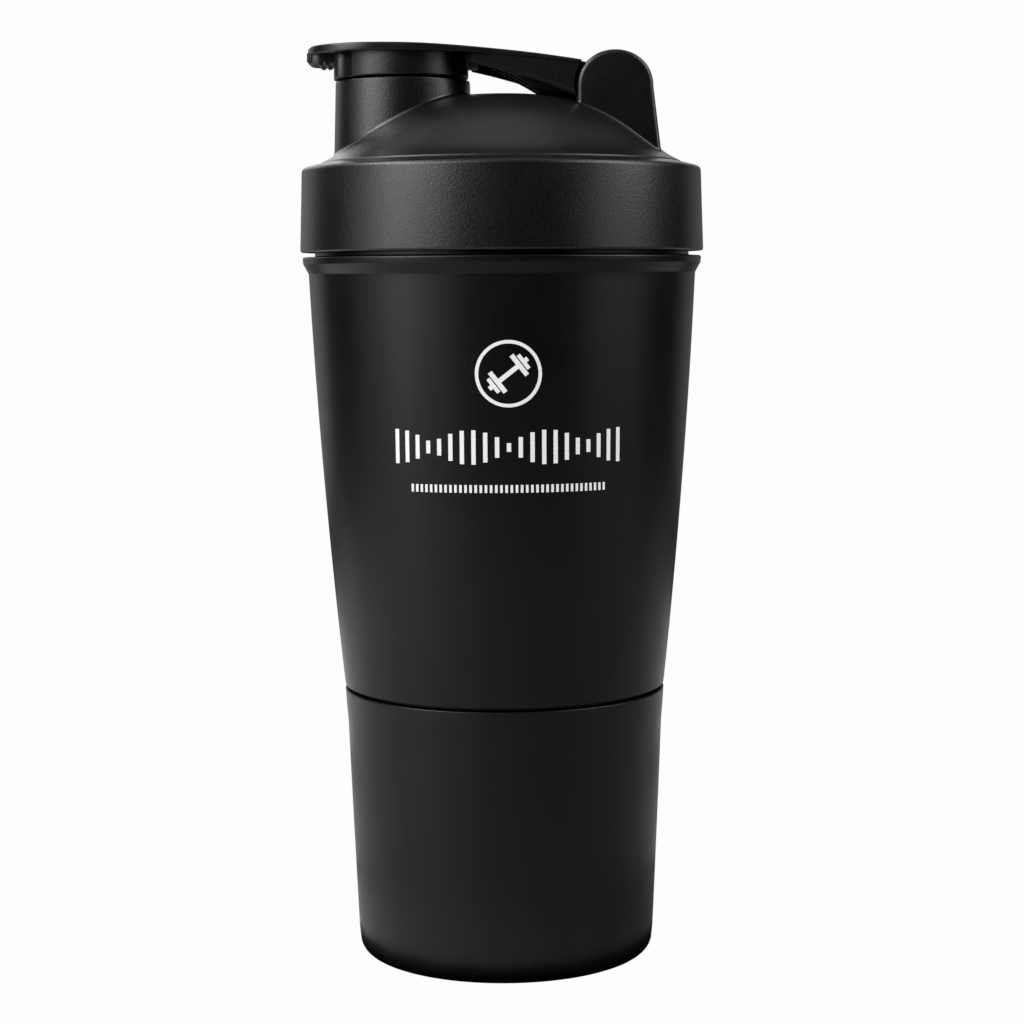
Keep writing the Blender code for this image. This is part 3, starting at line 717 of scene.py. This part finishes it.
def make_tab():
    """Grip under the tab: a block that rises to the tip, ribbed round its nose and across its underside."""
    parts = []
    nose, half, corner = TAB_TIP_X + 0.25, TAB_HALF_WIDTH, TAB_CORNER
    sections = []
    stations = [nose + corner * (1 - cos(pi / 2 * k / 12)) for k in range(12)]
    stations += spaced(nose + corner, -39.6, 16)
    for x in stations:
        reach = max(corner - (x - nose), 0.0)
        width = half - corner + sqrt(max(corner ** 2 - reach ** 2, 0.0))
        bottom = tab_bottom(x)
        corners = [(-width, bottom, 0.5), (width, bottom, 0.5), (width, TAB_TOP, 0.1), (-width, TAB_TOP, 0.1)]
        sections.append(section_points(x, corners))
    parts.append(tube("grip", sections))
    # upright ribs round the nose
    for k in range(15):
        y = -5.6 + 0.8 * k
        reach = max(abs(y) - (half - corner), 0.0)
        x = nose + corner - sqrt(max(corner ** 2 - reach ** 2, 0.0))
        low = tab_bottom(x) + 0.35
        front, back, left, right = x - 0.28, x + 0.7, y - 0.24, y + 0.24
        rib = rounded([(front, left, 0.2), (front, right, 0.2), (back, right, 0), (back, left, 0)])
        parts.append(extrude("rib", rib, low, TAB_TOP - 0.15, "Z", edge=0.1))
    # broad cross ribs under the block
    for x in (-43.6, -42.0):
        corners = [(x - 0.6, 219.0, 0.45), (x + 0.6, 219.0, 0.45), (x + 0.6, 220.0, 0), (x - 0.6, 220.0, 0)]
        parts.append(extrude("rib", rounded(corners), -half - 0.12, half + 0.12, "Y", edge=0.3))
    return parts


def make_pad():
    """Thick block in front of the skirt: flat sides, round corners and a slightly bowed front."""
    outer = [(-34.35, 10.9, 0), (-39.75, 10.9, 2.8), (-40.75, 0, 14)]
    outer += [(-39.75, -10.9, 2.8), (-34.35, -10.9, 0)]
    outline = rounded(outer)
    for k in range(1, 16):
        angle = pi - PAD_HALF_ANGLE * (1 - k / 8)
        outline.append((SPOUT_X + PAD_INNER_RADIUS * cos(angle), PAD_INNER_RADIUS * sin(angle)))
    return extrude("pad", outline, PAD_BOTTOM, PAD_TOP, "Z", edge=0.4)


def make_cap():
    corners = [(0, 221.9, 0), (SKIRT_RADIUS, 221.9, 0), (SKIRT_RADIUS, SKIRT_BOTTOM, 0.45)]
    corners += [(PLUG_RADIUS, SKIRT_BOTTOM, 0.3), (PLUG_RADIUS, SPOUT_SEAL["bottom"] - 0.1, 0)]
    corners += [(PLUG_RADIUS + 0.4, SPOUT_SEAL["bottom"] - 0.3, 0.1), (PLUG_RADIUS + 0.4, PLUG_DEPTH, 0.15)]
    corners += [(PLUG_RADIUS - 1.8, PLUG_DEPTH, 0.3), (PLUG_RADIUS - 2.1, 219.6, 1.0), (0, 219.6, 0)]
    parts = make_plate() + [lathe("skirt", rounded(corners), SPOUT_X), make_pad()]
    parts += make_arm() + make_tab()
    barrel = circle(HINGE_X, HINGE_Z, KNUCKLE_RADIUS, 96)
    knuckle = extrude("knuckle", barrel, -KNUCKLE_HALF, KNUCKLE_HALF, "Y", edge=0.4)
    hole = circle(HINGE_X, HINGE_Z, KNUCKLE_HOLE, 48)
    boolean(knuckle, extrude("hole", hole, -20, 20, "Y"), "DIFFERENCE")
    return join("cap_moulding", parts + [knuckle])


def make_pin():
    return extrude("pivot_pin", circle(HINGE_X, HINGE_Z, PIN_RADIUS, 64), -PIN_HALF, PIN_HALF, "Y", edge=0.3)


def print_cell(bm, corners):
    """One quad of the print, wrapped on the cup's front."""
    verts = []
    for along, z in corners:
        radius = cup_radius(z) + PRINT_THICKNESS
        angle = along / radius
        verts.append(bm.verts.new((radius * sin(angle) * MM, -radius * cos(angle) * MM, z * MM)))
    bm.faces.new(verts)


def print_bar(bm, left, right, bottom, top):
    columns = max(1, round((right - left) / 1.2))
    rows = max(1, round((top - bottom) / 4.0))
    us = [PRINT_CENTRE + u for u in spaced(left, right, columns)]
    vs = spaced(bottom, top, rows)
    for u0, u1 in zip(us, us[1:]):
        for v0, v1 in zip(vs, vs[1:]):
            print_cell(bm, ((u0, v0), (u1, v0), (u1, v1), (u0, v1)))


def print_ring(bm, centre_z, radius, stroke):
    for k in range(96):
        a, b = 2 * pi * k / 96, 2 * pi * (k + 1) / 96
        corners = []
        for size, angle in ((radius - stroke, a), (radius, a), (radius, b), (radius - stroke, b)):
            corners.append((PRINT_CENTRE + size * cos(angle), centre_z + size * sin(angle)))
        print_cell(bm, corners)


def print_tilted(bm, centre_z, tilt, left, right, half):
    """A bar of the pictogram, turned about its centre."""
    corners = []
    for u, v in ((left, -half), (right, -half), (right, half), (left, half)):
        along = PRINT_CENTRE + u * cos(tilt) - v * sin(tilt)
        corners.append((along, centre_z + u * sin(tilt) + v * cos(tilt)))
    print_cell(bm, corners)


def make_print():
    """A plain pictogram of a tilted dumbbell in a ring, over a row of bars and a row of short ticks."""
    bm = bmesh.new()
    print_ring(bm, ICON_Z, ICON_RADIUS, ICON_STROKE)
    print_tilted(bm, ICON_Z, ICON_TILT, -HANDLE_HALF_LENGTH, HANDLE_HALF_LENGTH, HANDLE_HALF_WIDTH)
    for side in (-1, 1):
        for inner, outer, half in WEIGHTS:
            left, right = sorted((side * inner, side * outer))
            print_tilted(bm, ICON_Z, ICON_TILT, left, right, half)
    for k in range(BARS):
        middle = BARS_REACH * (2 * k / (BARS - 1) - 1)
        height = 1.0 + 3.0 * abs(cos(3 * pi * k / (BARS - 1)))
        print_bar(bm, middle - BAR_HALF_WIDTH, middle + BAR_HALF_WIDTH, BARS_Z - height, BARS_Z + height)
    for k in range(TICKS):
        middle = TICKS_REACH * (2 * k / (TICKS - 1) - 1)
        print_bar(bm, middle - TICK_HALF_WIDTH, middle + TICK_HALF_WIDTH, TICKS_BOTTOM, TICKS_TOP)
    bmesh.ops.remove_doubles(bm, verts=bm.verts, dist=0.00001)
    bmesh.ops.solidify(bm, geom=bm.faces, thickness=PRINT_THICKNESS * 0.8 * MM)
    mesh = bpy.data.meshes.new("front_print")
    bm.to_mesh(mesh)
    bm.free()
    return link_mesh("front_print", mesh)


# ---------------------------------------------------------------- materials

def new_material(name):
    material = bpy.data.materials.new(name)
    material.use_nodes = True
    nodes = material.node_tree.nodes
    return material, nodes, material.node_tree.links, nodes["Principled BSDF"]


def noise(nodes, links, coordinates, scale, detail=3.0, roughness=0.5):
    node = nodes.new("ShaderNodeTexNoise")
    node.inputs["Scale"].default_value = scale
    node.inputs["Detail"].default_value = detail
    node.inputs["Roughness"].default_value = roughness
    links.new(coordinates, node.inputs["Vector"])
    return node.outputs["Fac"]


def ramp(nodes, links, value, low, high, start=0.0, end=1.0):
    node = nodes.new("ShaderNodeMapRange")
    node.inputs["From Min"].default_value = start
    node.inputs["From Max"].default_value = end
    node.inputs["To Min"].default_value = low
    node.inputs["To Max"].default_value = high
    links.new(value, node.inputs["Value"])
    return node.outputs["Result"]


def moulded_plastic(name, colour, rough, grain_mm, grain_depth, ior=1.5):
    """Black polypropylene: fine moulded grain, slight gloss variation, and convex edges painted paler, partly
    as edge wear and partly as a painted highlight.
    """
    material, nodes, links, shader = new_material(name)
    where = nodes.new("ShaderNodeTexCoord").outputs["Object"]
    grain = noise(nodes, links, where, 1 / (grain_mm * MM), 2.0, 0.6)
    blotch = noise(nodes, links, where, 1 / (14 * MM), 4.0, 0.6)
    # Convex edges (high pointiness) get a paler colour: partly edge wear, partly a painted highlight along
    # the edges.
    edge = nodes.new("ShaderNodeNewGeometry").outputs["Pointiness"]
    edge_wear_and_painted_highlight = ramp(nodes, links, edge, 0.0, 1.0, 0.53, 0.62)
    tint = nodes.new("ShaderNodeMix")
    tint.data_type = "RGBA"
    tint.inputs["A"].default_value = (*colour, 1)
    tint.inputs["B"].default_value = (*[c * 1.9 + 0.002 for c in colour], 1)
    links.new(edge_wear_and_painted_highlight, tint.inputs["Factor"])
    shade = nodes.new("ShaderNodeMix")
    shade.data_type = "RGBA"
    shade.blend_type = "MULTIPLY"
    shade.inputs["Factor"].default_value = 1.0
    links.new(tint.outputs["Result"], shade.inputs["A"])
    level = ramp(nodes, links, blotch, 0.9, 1.1, 0.3, 0.7)
    links.new(level, shade.inputs["B"])
    links.new(shade.outputs["Result"], shader.inputs["Base Color"])
    speckle = ramp(nodes, links, grain, -0.05, 0.05, 0.25, 0.75)
    drift = ramp(nodes, links, blotch, rough - 0.02, rough + 0.02, 0.3, 0.7)
    total = nodes.new("ShaderNodeMath")
    total.operation = "ADD"
    links.new(speckle, total.inputs[0])
    links.new(drift, total.inputs[1])
    links.new(total.outputs["Value"], shader.inputs["Roughness"])
    bump = nodes.new("ShaderNodeBump")
    bump.inputs["Strength"].default_value = 1.0
    bump.inputs["Distance"].default_value = grain_depth * MM
    links.new(grain, bump.inputs["Height"])
    links.new(bump.outputs["Normal"], shader.inputs["Normal"])
    shader.inputs["IOR"].default_value = ior
    return material


def silicone_material():
    return moulded_plastic("silicone_rubber", (0.02, 0.02, 0.021), 0.62, 0.25, 0.004)


def ink_with_painted_glow_material():
    """White print, with a painted glow (emission) so that it stays white on the shaded front."""
    material, nodes, links, shader = new_material("white_ink_painted_glow")
    where = nodes.new("ShaderNodeTexCoord").outputs["Object"]
    grain = noise(nodes, links, where, 1 / (0.4 * MM), 3.0)
    tone = nodes.new("ShaderNodeMix")
    tone.data_type = "RGBA"
    tone.inputs["A"].default_value = (0.88, 0.88, 0.87, 1)
    tone.inputs["B"].default_value = (0.95, 0.95, 0.94, 1)
    links.new(grain, tone.inputs["Factor"])
    links.new(tone.outputs["Result"], shader.inputs["Base Color"])
    # Painted glow: the print gives off light of its own to stay white where the lamps leave the front in
    # shade.
    shader.inputs["Emission Color"].default_value = (1, 1, 1, 1)
    shader.inputs["Emission Strength"].default_value = 0.4
    links.new(ramp(nodes, links, grain, 0.42, 0.58, 0.3, 0.7), shader.inputs["Roughness"])
    bump = nodes.new("ShaderNodeBump")
    bump.inputs["Strength"].default_value = 1.0
    bump.inputs["Distance"].default_value = 0.004 * MM
    links.new(grain, bump.inputs["Height"])
    links.new(bump.outputs["Normal"], shader.inputs["Normal"])
    return material


def steel_material():
    material, nodes, links, shader = new_material("ground_steel")
    where = nodes.new("ShaderNodeTexCoord").outputs["Object"]
    grain = noise(nodes, links, where, 4000, 3.0)
    links.new(ramp(nodes, links, grain, 0.18, 0.34, 0.3, 0.7), shader.inputs["Roughness"])
    shader.inputs["Base Color"].default_value = (0.58, 0.58, 0.6, 1)
    shader.inputs["Metallic"].default_value = 1.0
    return material


def dress(obj, material, body, slot, *nodes):
    """Give a piece its material and the body it rides on, and hide the CAD nodes it stands for. The slot is
    not used.
    """
    obj.data.materials.clear()
    obj.data.materials.append(material)
    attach(obj, body)
    if nodes:
        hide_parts(*nodes)


# ---------------------------------------------------------------- studio

FLOOR_HALF = 3000.0
STUDIO_WHITE = 0.985
AIM_HEIGHT = 0.12
SOFTBOX_DISTANCE = 0.9
CAMERA_LENS = 82.77
CAMERA_PLACE = (0.0021, -0.5825, 0.1675)
CAMERA_TILT_DOWN = 5.657
CAMERA_ROLL = -0.36
# Softboxes stand in rings: elevation, step in azimuth, width and height, then the ring's glows.
# A glow is a key, fill or rim light: its azimuth, how far it spreads and its brightness at the middle.
SOFTBOX_RINGS = (
    (4, 20, 0.317, 0.350, ((-58, 20, 1.8), (68, 20, 0.65), (-148, 18, 0.55), (150, 20, 0.3))),
    (26, 20, 0.317, 0.350, ((-51, 19, 3.1), (80, 13, 2.9), (-155, 18, 1.9), (168, 18, 0.8))),
    (50, 30, 0.310, 0.416, ((-88, 26, 3.2), (-30, 20, 1.2), (86, 24, 1.95))),
)
# a softbox fainter than this is left out
FAINTEST = 0.1
# A strip above the key and one above the fill draw the thin lights along the edges: azimuth, brightness.
EDGE_STRIPS = ((-66, 9.0), (62, 5.0))
STRIP_ELEVATION = 38
STRIP_SIZE = (0.400, 0.130)
OVERHEAD_BRIGHTNESS = 0.43
OVERHEAD_AZIMUTH = 180
OVERHEAD_ELEVATION = 82
OVERHEAD_SIZE = (0.5, 0.5)
# Bounce from the table: distance, width and depth of the panels, their even level,
# and how much brighter they are to the left and to the back.
BOUNCE_RINGS = (
    (0.0665, 0.040, 0.045, 0.35, 0.22, 0.00),
    (0.160, 0.090, 0.130, 0.38, 0.13, 0.12),
    (0.380, 0.200, 0.280, 0.54, 0.24, 0.22),
)
BOUNCE_STEP = 30
BOUNCE_HEIGHT = 0.001


def add_camera():
    data = bpy.data.cameras.new("camera")
    data.sensor_width = 36.0
    data.lens = CAMERA_LENS
    data.clip_end = 20.0
    camera = bpy.data.objects.new("camera", data)
    bpy.context.scene.collection.objects.link(camera)
    pitch = Matrix.Rotation(radians(90 - CAMERA_TILT_DOWN), 4, "X")
    roll = Matrix.Rotation(radians(CAMERA_ROLL), 4, "Z")
    camera.matrix_world = Matrix.Translation(CAMERA_PLACE) @ pitch @ roll
    bpy.context.scene.camera = camera


def add_panel(name, radiance, size_x, size_y, location, rotation):
    """A softbox of even brightness, not seen by the camera itself."""
    data = bpy.data.lights.new(name, "AREA")
    data.shape = "RECTANGLE"
    data.size, data.size_y = size_x, size_y
    data.energy = pi * size_x * size_y * radiance
    light = bpy.data.objects.new(name, data)
    bpy.context.scene.collection.objects.link(light)
    light.location = location
    light.rotation_euler = rotation
    light.visible_camera = False


def add_softbox(azimuth, elevation, size, radiance):
    """A softbox aimed at the bottle's middle; azimuth 0 is the camera's side, and the right is positive."""
    angle, rise = radians(azimuth), radians(elevation)
    ray = Vector((sin(angle) * cos(rise), -cos(angle) * cos(rise), sin(rise)))
    place = Vector((0, 0, AIM_HEIGHT)) + ray * SOFTBOX_DISTANCE
    add_panel("softbox", radiance, *size, place, ray.to_track_quat("Z", "Y").to_euler())


def glow_at(azimuth, glows):
    """Brightness of a ring at an azimuth: each glow fades smoothly to its sides."""
    total = 0.0
    for centre, spread, peak in glows:
        away = (azimuth - centre + 180) % 360 - 180
        total += peak * exp(-(away / spread) ** 2)
    return total


def add_lights():
    """The softbox rings, the two edge strips, the overhead softbox and the bounce from the table."""
    for elevation, step, size_x, size_y, glows in SOFTBOX_RINGS:
        for azimuth in range(-180 + step, 181, step):
            level = glow_at(azimuth, glows)
            if level > FAINTEST:
                add_softbox(azimuth, elevation, (size_x, size_y), level)
    for azimuth, level in EDGE_STRIPS:
        add_softbox(azimuth, STRIP_ELEVATION, STRIP_SIZE, level)
    add_softbox(OVERHEAD_AZIMUTH, OVERHEAD_ELEVATION, OVERHEAD_SIZE, OVERHEAD_BRIGHTNESS)
    for distance, size_x, size_y, even, left, back in BOUNCE_RINGS:
        for azimuth in range(-180 + BOUNCE_STEP, 181, BOUNCE_STEP):
            angle = radians(azimuth)
            level = even - left * sin(angle) - back * cos(angle)
            place = (distance * sin(angle), -distance * cos(angle), BOUNCE_HEIGHT)
            add_panel("bounce", level, size_x, size_y, place, (pi, 0, angle))


def add_stage():
    """A plain white floor that only the camera sees: the bounce panels give its light on the bottle."""
    signs = ((-1, -1), (1, -1), (1, 1), (-1, 1))
    verts = [(x * FLOOR_HALF, y * FLOOR_HALF, 0) for x, y in signs]
    floor = mesh_object("floor", verts, [(0, 1, 2, 3)])
    material, _, _, shader = new_material("studio_floor")
    shader.inputs["Base Color"].default_value = (0.0, 0.0, 0.0, 1)
    shader.inputs["Specular IOR Level"].default_value = 0.0
    shader.inputs["Emission Color"].default_value = (1, 1, 1, 1)
    shader.inputs["Emission Strength"].default_value = STUDIO_WHITE
    floor.data.materials.append(material)
    floor.visible_diffuse = False
    floor.visible_glossy = False
    floor.visible_shadow = False


def add_world():
    """The same white all round for the camera, and dark for the bottle, which the softboxes light."""
    world = bpy.data.worlds.new("studio")
    world.use_nodes = True
    nodes, links = world.node_tree.nodes, world.node_tree.links
    background = nodes["Background"]
    background.inputs["Color"].default_value = (1, 1, 1, 1)
    level = nodes.new("ShaderNodeMath")
    level.operation = "MULTIPLY"
    level.inputs[1].default_value = STUDIO_WHITE
    links.new(nodes.new("ShaderNodeLightPath").outputs["Is Camera Ray"], level.inputs[0])
    links.new(level.outputs["Value"], background.inputs["Strength"])
    bpy.context.scene.world = world


add_camera()
add_stage()
add_world()
add_lights()
bpy.context.scene.view_settings.view_transform = "Standard"

body_plastic = moulded_plastic("satin_body", (0.0042, 0.0042, 0.0045), 0.34, 0.5, 0.006, 1.5)
lid_plastic = moulded_plastic("grained_lid", (0.0042, 0.0042, 0.0045), 0.33, 0.5, 0.055, 1.8)
silicone = silicone_material()
steel = steel_material()

dress(make_jar(), body_plastic, "storage_jar", "body_plastic", "storage_jar")
dress(make_cup(), body_plastic, "main_cup", "body_plastic", "main_cup")
dress(make_lid(), lid_plastic, "lid", "lid_plastic", "lid_shell")
dress(make_cap(), lid_plastic, "flip_cap", "lid_plastic", "flip_cap")
dress(make_ring("jar_gasket_ring", JAR_GASKET, 0.3), silicone, "jar_gasket", "silicone", "jar_gasket")
dress(make_ring("lid_gasket_ring", LID_GASKET, 0.5), silicone, "lid_gasket", "silicone", "lid_gasket")
spout_seal = make_ring("spout_seal_ring", SPOUT_SEAL, 0.4, SPOUT_X)
dress(spout_seal, silicone, "flip_cap", "silicone", "spout_seal")
dress(make_print(), ink_with_painted_glow_material(), "main_cup", "print")
dress(make_pin(), steel, "flip_cap", "pin_steel", "hinge_pin")
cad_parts["strainer"].data.materials.clear()
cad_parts["strainer"].data.materials.append(body_plastic)

bpy.context.view_layer.update()
